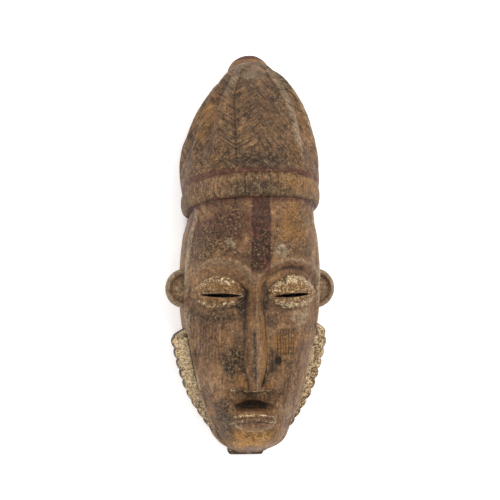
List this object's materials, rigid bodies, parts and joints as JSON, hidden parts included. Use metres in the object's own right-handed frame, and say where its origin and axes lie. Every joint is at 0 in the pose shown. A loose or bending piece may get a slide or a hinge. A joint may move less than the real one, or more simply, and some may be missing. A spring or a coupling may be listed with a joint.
{
  "type": "yaure mask",
  "caption": "Hollow carved wooden face mask with a tall fluted headdress, tied band, slit eyes, long nose, round ears and a notched beard border, lying on its back rim.",
  "frame": {"origin": "in the plane of the hollow back's rim, under the middle of the mask's length and width", "axes": "+X to the right of someone who looks the mask in the face, +Y from the chin to the headdress, +Z out of the face"},
  "size_m": [0.1614, 0.38, 0.1044],
  "materials": {
    "weathered wood": "aged brown wood with rubbed pigment"
  },
  "bodies": {
    "root": {"mask": "weathered wood"}
  },
  "joints": []
}
